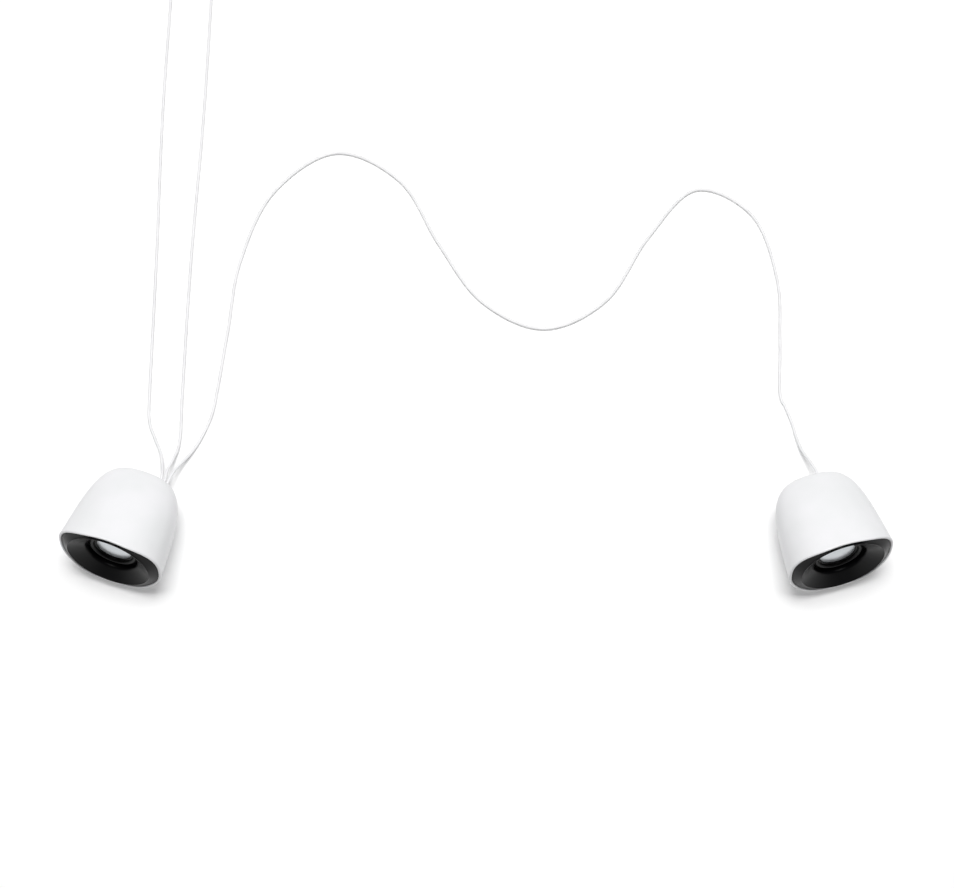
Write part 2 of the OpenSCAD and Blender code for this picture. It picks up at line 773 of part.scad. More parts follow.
module volume_control() {
    color([0.5, 0.5, 0.5]) difference() {
        at_depth(knob_x, knob_y, control_back)
            translate([-control_w / 2, -control_h / 2, 0]) cube([control_w, control_h, control_t]);
        at_depth(knob_x, knob_y, control_back + 1) cylinder(r = shaft_r + shaft_gap, h = shaft_seat + 1);
    }
}

module volume_shaft() {
    color([0.7, 0.7, 0.7]) at_depth(knob_x, knob_y, knob_back - 1.2)
        cylinder(r = shaft_r, h = knob_back - 1.2 - control_back + shaft_seat - 0.1);
}

module volume_knob() {
    color([0.93, 0.93, 0.94]) difference() {
        at_depth(knob_x, knob_y, 0) rotate_extrude() polygon([
            [0, -knob_back], [knob_r - 0.8, -knob_back], [knob_r, 0.8 - knob_back],
            [knob_r, -knob_front - 0.3], [knob_r - 0.3, -knob_front], [0, -knob_front]
        ]);
        at_depth(knob_x, knob_y, knob_back - 1.2) cylinder(r = shaft_r, h = knob_h);
        for (a = [0:360 / grip_cuts:359])
            at_depth(knob_x, knob_y, knob_back + 1) rotate([0, 0, a]) translate([knob_r + 0.25, 0, 0])
                cylinder(r = 0.6, h = knob_h + 2);
        at_depth(knob_x, knob_y, knob_back + 1) translate([-0.4, 1.5, 0]) cube([0.8, knob_r, 1.4]);
    }
}

module cord_tails() {
    color(cord_white) for (i = [-1:1])
        at_depth(outlet_x + i * nose_pitch, outlet_y, outlet_inner - grommet_flange)
            cylinder(r = cord_r, h = outlet_inner - grommet_flange - board_back);
}

// Feet and cord outlet

module feet() {
    color([0.15, 0.15, 0.15]) for (f = FEET)
        upright() translate([f[0], f[1], 0]) cylinder(r = foot_r, h = foot_h + foot_recess);
}

module cord_grommet(side) {
    count = cord_count(side);
    color([0.9, 0.9, 0.9]) union() {
        at_depth(outlet_x, outlet_y, outlet_inner)
            cord_slot(count, grommet_r + grommet_flange - 0.1, grommet_flange);
        at_depth(outlet_x, outlet_y, outlet_seat + grommet_flange)
            cord_slot(count, grommet_r + grommet_flange - 0.1, grommet_flange);
        at_depth(outlet_x, outlet_y, outlet_seat + eps)
            cord_slot(count, grommet_r - 0.05, outlet_seat - outlet_inner + 2 * eps);
        for (i = [0:count - 1])
            at_depth(outlet_x + (i - (count - 1) / 2) * nose_pitch, outlet_y, outlet_seat + grommet_flange + nose_l)
                cylinder(r1 = cord_r + 0.3, r2 = nose_r, h = nose_l + eps);
    }
}

// Cords, coils and plugs

// Outside shape of a wound coil that rests on its tie
module cord_coil(at) {
    edge = cord_r / 2;
    color(cord_white) translate([at[0], at[1], tie_t]) rotate_extrude() translate([coil_r, 0]) polygon([
        [-coil_w / 2, edge], [edge - coil_w / 2, 0], [coil_w / 2 - edge, 0], [coil_w / 2, edge],
        [coil_w / 2, coil_h - edge], [coil_w / 2 - edge, coil_h], [edge - coil_w / 2, coil_h],
        [-coil_w / 2, coil_h - edge]
    ]);
}

// Strap round the coil's turns
module coil_tie(at, angle) {
    inner = [coil_w + 2 * tie_gap, coil_h + tie_gap];
    outer = inner + [2 * tie_t, 2 * tie_t];
    color([0.2, 0.2, 0.2]) translate([at[0], at[1], 0]) rotate([0, 0, angle]) difference() {
        translate([coil_r - outer[0] / 2, -tie_w / 2, 0]) cube([outer[0], tie_w, outer[1]]);
        rotate_extrude() translate([coil_r - inner[0] / 2, tie_t]) square(inner);
    }
}

module link_cord() {
    color(cord_white) tube(smooth(LINK_ROUTE), cord_r);
}

module usb_cord() {
    color(cord_white) {
        tube(smooth(USB_ROUTE), cord_r);
        tube(smooth(USB_TAIL), cord_r);
    }
}

module audio_cord() {
    color(cord_white) {
        tube(smooth(AUDIO_ROUTE), cord_r);
        tube(smooth(AUDIO_TAIL), cord_r);
    }
}

module usb_plug_grip() {
    corner = 1.8;
    color(cord_white) translate(usb_plug_at) rotate([90, 0, 90]) {
        linear_extrude(usb_grip_l) hull()
            for (x = [-1, 1], y = [-1, 1])
                translate([x * (usb_grip_w / 2 - corner), y * (usb_grip_h / 2 - corner)]) circle(r = corner, $fn = 32);
        difference() {
            translate([0, 0, -usb_tail_l]) cylinder(r1 = cord_r + 0.6, r2 = 3, h = usb_tail_l + eps);
            translate([0, 0, -usb_tail_l - 1]) cylinder(r = cord_r + bore_gap, h = cord_bore + 1);
        }
        translate([-tongue_w / 2, -0.2, usb_grip_l - eps]) cube([tongue_w, 1.9, usb_shell_l - 0.8]);
    }
}

module usb_plug_shell() {
    hole = 2.2;
    color([0.75, 0.76, 0.78]) translate(usb_plug_at) rotate([90, 0, 90]) translate([0, 0, usb_grip_l]) difference() {
        translate([-usb_shell_w / 2, -usb_shell_h / 2, 0]) cube([usb_shell_w, usb_shell_h, usb_shell_l]);
        translate([usb_shell_t - usb_shell_w / 2, usb_shell_t - usb_shell_h / 2, -1])
            cube([usb_shell_w - 2 * usb_shell_t, usb_shell_h - 2 * usb_shell_t, usb_shell_l + 2]);
        for (x = [-1, 1])
            translate([x * usb_shell_w / 5 - hole / 2, -usb_shell_h, usb_shell_l / 2 - hole / 2])
                cube([hole, 2 * usb_shell_h, hole]);
    }
}

module audio_plug_grip() {
    color(cord_white) translate(audio_plug_at) rotate([0, 90, 0]) rotate_extrude() polygon([
        [0, cord_bore - audio_tail_l], [cord_r + bore_gap, cord_bore - audio_tail_l],
        [cord_r + bore_gap, -audio_tail_l], [cord_r + 0.6, -audio_tail_l], [2.6, -0.8], [audio_grip_r, 0.6],
        [audio_grip_r, audio_grip_l - 1.2], [audio_grip_r - 0.8, audio_grip_l], [0, audio_grip_l]
    ]);
}

module audio_plug_pin() {
    color([0.75, 0.76, 0.78]) translate(audio_plug_at) rotate([0, 90, 0]) translate([0, 0, audio_grip_l])
        rotate_extrude() polygon([
            [0, 0], [2.6, 0], [2.6, 1], [audio_pin_r, 1], [audio_pin_r, 11], [1.15, 11.8],
            [1.15, 12.1], [1.65, 12.7], [0.6, audio_pin_l], [0, audio_pin_l]
        ]);
}

// What each node draws

module shared_part(name, side) {
    if (name == "housing") housing(side);
    if (name == "front_panel") front_panel();
    if (name == "driver_gasket") driver_gasket();
    if (name == "driver_basket") driver_basket();
    if (name == "surround") surround();
    if (name == "cone") cone();
    if (name == "dust_cap") dust_cap();
    if (name == "coil_former") coil_former();
    if (name == "voice_coil") voice_coil();
    if (name == "spider") spider();
    if (name == "top_plate") top_plate();
    if (name == "magnet") magnet();
    if (name == "yoke") yoke();
    if (name == "terminal_board") terminal_board();
    if (name == "terminal_lugs") terminal_lugs();
    if (name == "driver_screws") driver_screws();
    if (name == "feet") feet();
    if (name == "cord_grommet") cord_grommet(side);
    if (name == "driver_leads") driver_leads(side);
}

for (side = SIDES, name = SHARED)
    speaker(side) shared_part(name, side);

speaker("left") circuit_board();  // left_circuit_board
speaker("left") amplifier_chip();  // left_amplifier_chip
speaker("left") board_capacitors();  // left_board_capacitors
speaker("left") lead_connector();  // left_lead_connector
speaker("left") volume_control();  // left_volume_control
speaker("left") volume_shaft();  // left_volume_shaft
speaker("left") volume_knob();  // left_volume_knob
speaker("left") board_screws();  // left_board_screws
speaker("left") cord_tails();  // left_cord_tails
on_desk() link_cord();
on_desk() usb_cord();
on_desk() cord_coil(usb_coil_at);  // usb_coil
on_desk() coil_tie(usb_coil_at, 0);  // usb_tie
on_desk() usb_plug_grip();
on_desk() usb_plug_shell();
on_desk() audio_cord();
on_desk() cord_coil(audio_coil_at);  // audio_coil
on_desk() coil_tie(audio_coil_at, 180);  // audio_tie
on_desk() audio_plug_grip();
on_desk() audio_plug_pin();
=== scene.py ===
# %% [markdown]
# # A pair of desktop speakers
# Two small egg-shaped speakers stand on a desk. Each has a white moulded shell, a black
# dished front and one small driver with a silver cap. Three thin cords leave the left one,
# which holds the amplifier, and one of them runs on to the right one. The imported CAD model
# is loaded first and stays where it is. Every new piece is modelled on its values.
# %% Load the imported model
import json
import math

import bpy
from mathutils import Matrix, Vector


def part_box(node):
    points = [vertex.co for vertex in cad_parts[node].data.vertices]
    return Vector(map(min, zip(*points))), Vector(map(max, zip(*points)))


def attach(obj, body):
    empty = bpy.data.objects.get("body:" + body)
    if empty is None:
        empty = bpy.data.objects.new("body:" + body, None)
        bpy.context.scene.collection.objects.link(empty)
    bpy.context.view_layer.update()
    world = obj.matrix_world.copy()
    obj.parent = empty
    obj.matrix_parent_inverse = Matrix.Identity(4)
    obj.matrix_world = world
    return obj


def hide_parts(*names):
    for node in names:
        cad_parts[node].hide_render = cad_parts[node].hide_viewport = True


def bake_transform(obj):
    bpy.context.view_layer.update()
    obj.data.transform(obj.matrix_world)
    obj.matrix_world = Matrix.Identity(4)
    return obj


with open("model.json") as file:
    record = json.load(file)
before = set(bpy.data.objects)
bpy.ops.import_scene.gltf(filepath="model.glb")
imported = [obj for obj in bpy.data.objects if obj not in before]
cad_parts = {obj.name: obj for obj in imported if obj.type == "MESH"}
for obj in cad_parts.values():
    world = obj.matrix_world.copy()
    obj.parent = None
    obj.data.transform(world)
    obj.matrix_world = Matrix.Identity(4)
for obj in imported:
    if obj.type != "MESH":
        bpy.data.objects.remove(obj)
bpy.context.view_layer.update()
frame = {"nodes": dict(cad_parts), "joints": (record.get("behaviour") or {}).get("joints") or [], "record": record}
nodes = frame["nodes"]
MM = 0.001

# %% [markdown]
# ## The camera
# The view is from high above the desk, in front of it, with a long lens. The camera looks
# down at 74 degrees, so it is turned 16 degrees up from straight down.
# %% Camera
CAMERA_HEIGHT = 1.392
CAMERA_BACK = 0.3252
LOOK_DOWN = 74
LENS = 69.51

bpy.ops.object.camera_add(
    location=(0.0009, -CAMERA_BACK, CAMERA_HEIGHT), rotation=(math.radians(90 - LOOK_DOWN), 0, 0)
)
camera = bpy.context.object
camera.data.lens = LENS
camera.data.clip_start = 0.01
bpy.context.scene.camera = camera
print("Camera at", tuple(round(x, 3) for x in camera.location))

# %% [markdown]
# ## Where each speaker stands
# Each speaker has its own frame: +Z comes out of the front, +Y is up and the centre of the
# front rim is the origin. The driver's magnet is a ring on that axis, so its middle and the
# direction in which the cone travels give the whole frame.
# %% Speaker frames
MAGNET_MIDDLE = 31.6


def speaker_frame(side):
    """Matrix that takes millimetres in a speaker's own frame to its place on the desk."""
    travel = next(j for j in frame["joints"] if j["name"] == side + "_cone_travel")
    forward = Vector(travel["axis"]).normalized()
    right = Vector((0, 0, 1)).cross(forward).normalized()
    up = forward.cross(right)
    low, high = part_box(side + "_magnet")
    origin = (low + high) / 2 + forward * MAGNET_MIDDLE * MM
    turn = Matrix((right, up, forward)).transposed().to_4x4()
    return Matrix.Translation(origin) @ turn @ Matrix.Scale(MM, 4)


SIDES = ("left", "right")
FRAMES = {side: speaker_frame(side) for side in SIDES}
for side in SIDES:
    print(side, "front centre:", [round(x, 4) for x in FRAMES[side].translation])

# %% [markdown]
# ## The cords' routes
# A cord is one smooth curve through the points of its route, which are those of the CAD
# model. Spare cord is wound into a neat coil of two layers: the cord winds in along the
# desk, steps up at the inside and winds out on top, so no turn runs through another.
# %% Routes in millimetres, from a point between the fronts
CORD_WIDTH = 2.4
ROUTE_STEP = 2
COIL_RADIUS = 14.4
COIL_LAYER = 4
TURN_STEPS = 36
TIE_THICKNESS = 0.6
LIE = CORD_WIDTH / 2
USB_COIL = (-205, 523)
AUDIO_COIL = (-275, 523)
PAIR_CENTRE = Vector((-0.3, -29.6, 0))

LINK_ROUTE = [
    (-238.6, 66.4, 14.6), (-237.5, 70.1, 13.6), (-234.3, 78, 11), (-228.8, 87, 6.5),
    (-222.3, 96, 3), (-215, 109, LIE), (-208, 127, LIE), (-204.5, 147, LIE), (-198, 197, LIE),
    (-190, 257, LIE), (-165, 317, LIE), (-115, 352, LIE), (-62, 327, LIE), (-30, 272, LIE),
    (5, 222, LIE), (55, 199, LIE), (105, 223, LIE), (140, 277, LIE), (180, 319, LIE),
    (225, 297, LIE), (243, 242, LIE), (243, 187, LIE), (241, 146, LIE), (245, 133, LIE),
    (249.5, 120, LIE), (252, 109, 1.8), (255.2, 98, 4.5), (259.7, 88.5, 8.5), (263.7, 80, 12),
    (265.3, 75, 13.6), (266.4, 71.3, 14.6),
]
USB_ROUTE = [
    (-241.4, 67.3, 14.6), (-240.3, 71, 13.6), (-239.4, 79, 10.8), (-236.3, 89, 6),
    (-233.3, 99, 2.6), (-232, 111, LIE), (-232, 127, LIE), (-232, 147, LIE), (-230, 257, LIE),
    (-225, 387, LIE), (-223, 497, 1.4), (-223, 513, 1.8),
]
USB_TAIL = [
    (-195.5, 541.4, 4.2), (-190, 542.6, 4.15), (-185.5, 544.4, 4.1), (-181.5, 545, 4.05),
    (-177.5, 545, 4.05), (-174, 545, 4.05),
]
AUDIO_ROUTE = [
    (-244.3, 68.2, 14.6), (-243.2, 71.9, 13.6), (-243, 79, 11), (-244.8, 88, 6.5),
    (-246.8, 96, 3.2), (-252, 108, 1.3), (-257, 122, LIE), (-258, 147, LIE), (-258, 257, LIE),
    (-259, 387, LIE), (-257, 497, 1.4), (-257, 513, 1.8),
]
AUDIO_TAIL = [
    (-284.5, 541.4, 4.2), (-289, 541.9, 4.15), (-294.2, 544.6, 4.1), (-296.8, 550.2, 3.9),
    (-294.5, 556.2, 3.7), (-289.5, 559, 3.6), (-285.5, 559, 3.6), (-282, 559, 3.6),
]


def coil_turns(centre, clockwise):
    """Turns of a coil, from the side where the cord comes in to the far side."""
    outer = COIL_RADIUS + (COIL_LAYER - 1) / 2 * CORD_WIDTH
    inner = outer - (COIL_LAYER - 1) * CORD_WIDTH
    low = TIE_THICKNESS + CORD_WIDTH / 2
    high = low + CORD_WIDTH
    wind, step = COIL_LAYER - 1, 0.25
    start = 180 if clockwise else 0
    direction = -1 if clockwise else 1
    last = 2 * wind + step
    points = []
    for count in range(int(last * TURN_STEPS) + 1):
        turn = count / TURN_STEPS
        if turn < wind:
            radius, z = outer - turn * CORD_WIDTH, low
        elif turn < wind + step:
            share = (turn - wind) / step
            radius, z = inner, low + (high - low) * share * share * (3 - 2 * share)
        else:
            radius, z = min(inner + (turn - wind - step) * CORD_WIDTH, outer), high
        angle = math.radians(start + direction * 360 * turn)
        points.append((centre[0] + radius * math.cos(angle), centre[1] + radius * math.sin(angle), z))
    return points


def smooth(route, gap):
    """Points of a smooth curve through a route, about a gap apart."""
    route = [Vector(p) for p in route]
    points = []
    for i, (b, c) in enumerate(zip(route, route[1:])):
        a, d = route[max(i - 1, 0)], route[min(i + 2, len(route) - 1)]
        steps = math.ceil((c - b).length / gap)
        for k in range(steps):
            t = k / steps
            points.append(
                0.5 * (2 * b + (c - a) * t + (2 * a - 5 * b + 4 * c - d) * t * t
                       + (3 * b - a - 3 * c + d) * t ** 3)
            )
    return points + [route[-1]]


def length_of(points):
    return sum((b - a).length for a, b in zip(points, points[1:]))


def laid_out(*parts):
    """One line through a cord's parts, in metres on the desk."""
    line = smooth([p for part in parts for p in part], ROUTE_STEP)
    return [(p + PAIR_CENTRE) * MM for p in line]


CORD_LINES = {
    "link_cord": laid_out(LINK_ROUTE),
    "usb_cord": laid_out(USB_ROUTE, coil_turns(USB_COIL, True), USB_TAIL),
    "audio_cord": laid_out(AUDIO_ROUTE, coil_turns(AUDIO_COIL, False), AUDIO_TAIL),
}
for name, line in CORD_LINES.items():
    print(name, "is", round(length_of(line), 3), "m long")

# %% [markdown]
# ## Tools for modelling
# Operators act on all that is selected, so a piece is first made the only one. Pieces are
# modelled in millimetres in a speaker's own frame and then put in their place.
# %% Helpers for meshes
WELD, CAD_WELD = 0.001, 0.002 * MM


def pick(piece):
    bpy.ops.object.select_all(action="DESELECT")
    piece.select_set(True)
    bpy.context.view_layer.objects.active = piece


def weld(piece, distance):
    """Merges points that lie together and turns all faces outwards."""
    pick(piece)
    bpy.ops.object.mode_set(mode="EDIT")
    bpy.ops.mesh.select_all(action="SELECT")
    bpy.ops.mesh.remove_doubles(threshold=distance)
    bpy.ops.mesh.normals_make_consistent(inside=False)
    bpy.ops.object.mode_set(mode="OBJECT")


def smooth_faces(piece, angle):
    pick(piece)
    bpy.ops.object.shade_smooth_by_angle(angle=math.radians(angle))


def lofted(name, rings):
    """A grid wrapped over rings of points. Rings shrunk to a point close its ends."""
    around, along = len(rings[0]), len(rings) - 1
    bpy.ops.mesh.primitive_grid_add(x_subdivisions=around, y_subdivisions=along, size=1)
    piece = bpy.context.object
    piece.name = name
    for vertex in piece.data.vertices:
        i = round((vertex.co.x + 0.5) * around) % around
        j = round((vertex.co.y + 0.5) * along)
        vertex.co = rings[j][i]
    weld(piece, WELD)
    return piece


def combine(piece, tool, operation):
    """Cuts, joins or trims a piece with a closed tool, which is then thrown away."""
    pick(piece)
    step = piece.modifiers.new("combine", "BOOLEAN")
    step.operation, step.object, step.solver = operation, tool, "EXACT"
    bpy.ops.object.modifier_apply(modifier=step.name)
    bpy.data.objects.remove(tool)


def rod(radius, low, high, at=(0, 0), vertices=64):
    """A round rod along the driver axis, between two heights."""
    bpy.ops.mesh.primitive_cylinder_add(
        vertices=vertices, radius=radius, depth=high - low, location=(*at, (low + high) / 2)
    )
    bpy.ops.object.transform_apply()
    return bpy.context.object


def put(piece, side):
    """Takes a piece from a speaker's own frame to its place."""
    piece.data.transform(FRAMES[side])
    piece.data.update()


def stand_in(piece, body, slot, *cad_nodes):
    """The piece rides on a body in place of CAD nodes."""
    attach(piece, body)
    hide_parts(*cad_nodes)


def smooth_copy(node, name, body, slot, angle=35):
    """A CAD node whose shape is right, with its triangles welded and its curves smooth."""
    piece = nodes[node].copy()
    piece.data = nodes[node].data.copy()
    piece.name = name
    piece.parent = None
    for key in list(piece.keys()):
        del piece[key]
    bpy.context.scene.collection.objects.link(piece)
    weld(piece, CAD_WELD)
    smooth_faces(piece, angle)
    stand_in(piece, body, slot, node)
    return piece


# %% [markdown]
# ## Tools for materials
# A material starts as one shader with typical values. Patterns come from noise on the
# piece's own coordinates, with their size given in millimetres. Noise gathers round the
# middle of its range, so only its inner part is spread between two values.
# %% Helpers for materials
COLOUR_SPREAD = (0.35, 0.65)
GLOSS_SPREAD = (0.3, 0.7)


def linear(code):
    """Linear colour of an sRGB hex value."""
    parts = [int(code[i:i + 2], 16) / 255 for i in (1, 3, 5)]
    return tuple(c / 12.92 if c <= 0.04045 else ((c + 0.055) / 1.055) ** 2.4 for c in parts) + (1,)


def add_node(material, kind, inputs=None, **settings):
    """Adds a node with its settings. An input is a value, or another node's output."""
    tree = material.node_tree
    node = tree.nodes.new(kind)
    for name, value in settings.items():
        setattr(node, name, value)
    for name, value in (inputs or {}).items():
        if isinstance(value, bpy.types.NodeSocket):
            tree.links.new(value, node.inputs[name])
        else:
            node.inputs[name].default_value = value
    return node


def shader_of(material):
    return material.node_tree.nodes["Principled BSDF"]


def new_material(name, colour, roughness, **more):
    material = bpy.data.materials.new(name)
    material.use_nodes = True
    shader = shader_of(material)
    shader.inputs["Base Color"].default_value = linear(colour)
    shader.inputs["Roughness"].default_value = roughness
    for socket, value in more.items():
        shader.inputs[socket.replace("_", " ")].default_value = value
    return material


def noise(material, size, detail=2.0, stretch=(1, 1, 1)):
    """Noise whose blotches are about size millimetres across."""
    place = add_node(material, "ShaderNodeTexCoord").outputs["Object"]
    if stretch != (1, 1, 1):
        place = add_node(material, "ShaderNodeMapping", {"Vector": place, "Scale": stretch}).outputs[0]
    return add_node(
        material, "ShaderNodeTexNoise", {"Vector": place, "Scale": 1 / (size * MM), "Detail": detail}
    ).outputs["Fac"]


def vary_colour(material, fac, first, second):
    """Lets the colour drift between two shades."""
    ramp = add_node(material, "ShaderNodeValToRGB", {"Fac": fac})
    for element, position, colour in zip(ramp.color_ramp.elements, COLOUR_SPREAD, (first, second)):
        element.position, element.color = position, linear(colour)
    material.node_tree.links.new(ramp.outputs["Color"], shader_of(material).inputs["Base Color"])


def vary_roughness(material, fac, low, high):
    least, most = GLOSS_SPREAD
    spread = add_node(
        material, "ShaderNodeMapRange",
        {"Value": fac, "From Min": least, "From Max": most, "To Min": low, "To Max": high},
    )
    material.node_tree.links.new(spread.outputs["Result"], shader_of(material).inputs["Roughness"])


def bump(material, fac, height, strength=1.0):
    """Relief of a height in millimetres."""
    relief = add_node(
        material, "ShaderNodeBump", {"Height": fac, "Strength": strength, "Distance": height * MM}
    )
    material.node_tree.links.new(relief.outputs["Normal"], shader_of(material).inputs["Normal"])


def paint(piece, material):
    piece.data.materials.clear()
    piece.data.materials.append(material)


# %% [markdown]
# ## Plastics
# The shell is white ABS from a polished mould: a soft gloss with the faint waviness that
# moulded walls have. The front is black ABS with a fine satin grain, which reflects the desk
# as a dark grey on the sides of the dish. The knob has a matt grain for the fingers.
# %% White and black mouldings
white_abs = new_material("moulded_white_abs", "#f1f1f3", 0.34, IOR=1.5)
vary_colour(white_abs, noise(white_abs, 30), "#eff0f1", "#f3f3f5")
vary_roughness(white_abs, noise(white_abs, 3), 0.3, 0.38)
bump(white_abs, noise(white_abs, 2.2), 0.004, 0.5)

black_abs = new_material("satin_black_abs", "#08080a", 0.3, IOR=1.5, Specular_IOR_Level=0.115)
vary_colour(black_abs, noise(black_abs, 12), "#070709", "#0a0a0b")
vary_roughness(black_abs, noise(black_abs, 4), 0.28, 0.32)
bump(black_abs, noise(black_abs, 0.35, 4), 0.004, 0.5)

knob_abs = new_material("matt_white_abs", "#efeff0", 0.5, IOR=1.5)
vary_colour(knob_abs, noise(knob_abs, 6), "#ebebec", "#f2f2f3")
bump(knob_abs, noise(knob_abs, 0.4, 3), 0.01, 0.6)

grip_pvc = new_material("moulded_white_pvc", "#ececed", 0.46, IOR=1.52)
vary_colour(grip_pvc, noise(grip_pvc, 5), "#e7e7e8", "#f0f0f1")
bump(grip_pvc, noise(grip_pvc, 0.6, 3), 0.012, 0.6)
print("Plastics:", [m.name for m in (white_abs, black_abs, knob_abs, grip_pvc)])

# %% [markdown]
# ## Rubber, paper, cloth and foam
# The surround is soft black rubber, the cone is black paper with its felted fibres, and the
# spider is a stiffened woven cloth. Cords have a soft extruded PVC sheath.
# %% Soft materials
surround_rubber = new_material("soft_black_rubber", "#060606", 0.34, IOR=1.52, Specular_IOR_Level=0.12)
vary_roughness(surround_rubber, noise(surround_rubber, 2), 0.3, 0.38)

foot_rubber = new_material("hard_black_rubber", "#1c1c1c", 0.72, IOR=1.52)
vary_colour(foot_rubber, noise(foot_rubber, 2), "#171717", "#232323")
bump(foot_rubber, noise(foot_rubber, 0.5, 4), 0.03)

cone_paper = new_material("pressed_black_paper", "#080809", 0.6, IOR=1.45, Specular_IOR_Level=0.12)
vary_colour(cone_paper, noise(cone_paper, 0.9, 5), "#070708", "#0b0b0c")
bump(cone_paper, noise(cone_paper, 0.5, 6, (1, 1, 3)), 0.03)

spider_cloth = new_material("stiffened_cloth", "#a8814a", 0.85, IOR=1.45)
vary_colour(spider_cloth, noise(spider_cloth, 0.6, 3), "#957040", "#b98f55")
bump(spider_cloth, noise(spider_cloth, 0.5, 3), 0.05)

gasket_foam = new_material("closed_cell_foam", "#262626", 0.95, IOR=1.4)
vary_colour(gasket_foam, noise(gasket_foam, 0.5, 4), "#1d1d1d", "#303030")
bump(gasket_foam, noise(gasket_foam, 0.4, 4), 0.06)

cord_pvc = new_material("extruded_white_pvc", "#f2f2f2", 0.42, IOR=1.52)
vary_colour(cord_pvc, noise(cord_pvc, 9), "#eeeeef", "#f4f4f5")
bump(cord_pvc, noise(cord_pvc, 0.9, 2), 0.015, 0.5)

tie_rubber = new_material("black_tie_rubber", "#202021", 0.66, IOR=1.52)
bump(tie_rubber, noise(tie_rubber, 0.4, 3, (1, 1, 0.3)), 0.02)

former_paper = new_material("kraft_paper", "#7d5a36", 0.8, IOR=1.45)
vary_colour(former_paper, noise(former_paper, 0.7, 4), "#70502f", "#8b663f")
print("Soft materials:", len(bpy.data.materials), "materials so far")

# %% [markdown]
# ## Metals
# The dust cap is a pressed plastic dome with a vacuum-metallised face, so it shines softly
# like brushed silver. Plugs and screws are nickel-plated, and the driver's plates are
# zinc-plated. The ring magnet is sintered, so it is dull and slightly pitted.
# %% Metals and coatings
silver_cap = new_material("metallised_cap", "#d3d7da", 0.3, Metallic=0.8)
vary_roughness(silver_cap, noise(silver_cap, 4, 1), 0.28, 0.32)

nickel = new_material("nickel_plate", "#c2c0bb", 0.22, Metallic=1.0)
vary_roughness(nickel, noise(nickel, 0.5, 3, (6, 1, 1)), 0.16, 0.3)

zinc = new_material("zinc_plated_steel", "#a9abad", 0.38, Metallic=1.0)
vary_roughness(zinc, noise(zinc, 1.5, 3), 0.3, 0.5)

basket_paint = new_material("black_painted_steel", "#17181a", 0.42, Metallic=0.0)
vary_roughness(basket_paint, noise(basket_paint, 0.6, 3), 0.36, 0.5)
bump(basket_paint, noise(basket_paint, 0.5, 3), 0.01)

shaft_metal = new_material("turned_aluminium", "#b8babd", 0.34, Metallic=1.0)
vary_roughness(shaft_metal, noise(shaft_metal, 0.3, 2, (1, 1, 8)), 0.25, 0.42)

brass = new_material("rolled_brass", "#c9a25a", 0.34, Metallic=1.0)
vary_roughness(brass, noise(brass, 0.6), 0.28, 0.42)

copper = new_material("enamelled_copper", "#a4562c", 0.32, Metallic=0.9)
bump(copper, noise(copper, 0.3, 1, (1, 1, 6)), 0.03)

ferrite = new_material("sintered_ferrite", "#26272a", 0.6, IOR=1.8)
vary_colour(ferrite, noise(ferrite, 1.2, 4), "#202124", "#2e2f33")
bump(ferrite, noise(ferrite, 0.4, 4), 0.02)
print("Metals:", len(bpy.data.materials), "materials so far")

# %% [markdown]
# ## Electronic parts
# The board is glass-fibre laminate under a green solder resist, and its parts have moulded
# epoxy, nylon and shrunk sleeves.
# %% Board materials
board_resist = new_material("green_solder_resist", "#14532f", 0.35, IOR=1.5)
vary_colour(board_resist, noise(board_resist, 2.5, 3), "#104527", "#196039")

fibre_board = new_material("pressed_fibre_board", "#5a3a22", 0.7, IOR=1.5)
vary_colour(fibre_board, noise(fibre_board, 0.8, 4), "#4c301b", "#68452a")

chip_epoxy = new_material("moulded_black_epoxy", "#161617", 0.55, IOR=1.55)
bump(chip_epoxy, noise(chip_epoxy, 0.3, 3), 0.01)

capacitor_sleeve = new_material("shrunk_blue_sleeve", "#22324f", 0.3, IOR=1.5)
vary_colour(capacitor_sleeve, noise(capacitor_sleeve, 4), "#1e2d48", "#273857")

connector_nylon = new_material("natural_nylon", "#dedac8", 0.45, IOR=1.53)
vary_colour(connector_nylon, noise(connector_nylon, 3), "#d8d3bf", "#e5e1d2")

lead_pvc = new_material("red_lead_pvc", "#9b1f1f", 0.45, IOR=1.52)
vary_colour(lead_pvc, noise(lead_pvc, 4), "#8f1b1b", "#a82626")
print("Board materials:", len(bpy.data.materials), "materials in all")

# %% [markdown]
# ## CAD nodes that keep their shape
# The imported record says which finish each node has, so every node gets its material from
# it. New pieces below then replace those that are seen from close by.
# %% Finish of every CAD node
FINISHES = {
    "white_shell": white_abs, "black_panel": black_abs, "foam": gasket_foam,
    "basket_steel": basket_paint, "black_rubber": surround_rubber, "black_cone": cone_paper,
    "silver_cap": silver_cap, "former_paper": former_paper, "copper_wire": copper,
    "spider_cloth": spider_cloth, "plated_steel": zinc, "ferrite": ferrite,
    "fibre_board": fibre_board, "brass": brass, "screw_steel": nickel,
    "foot_rubber": foot_rubber, "cord_white": cord_pvc, "grip_white": grip_pvc,
    "lead_red": lead_pvc, "green_board": board_resist, "chip_black": chip_epoxy,
    "capacitor_sleeve": capacitor_sleeve, "connector_nylon": connector_nylon,
    "control_body": zinc, "shaft_metal": shaft_metal, "white_knob": knob_abs,
    "plug_metal": nickel, "tie_black": tie_rubber,
}
for part in frame["record"]["subparts"]:
    paint(nodes[part["node"]], FINISHES[part["material_slot"]])

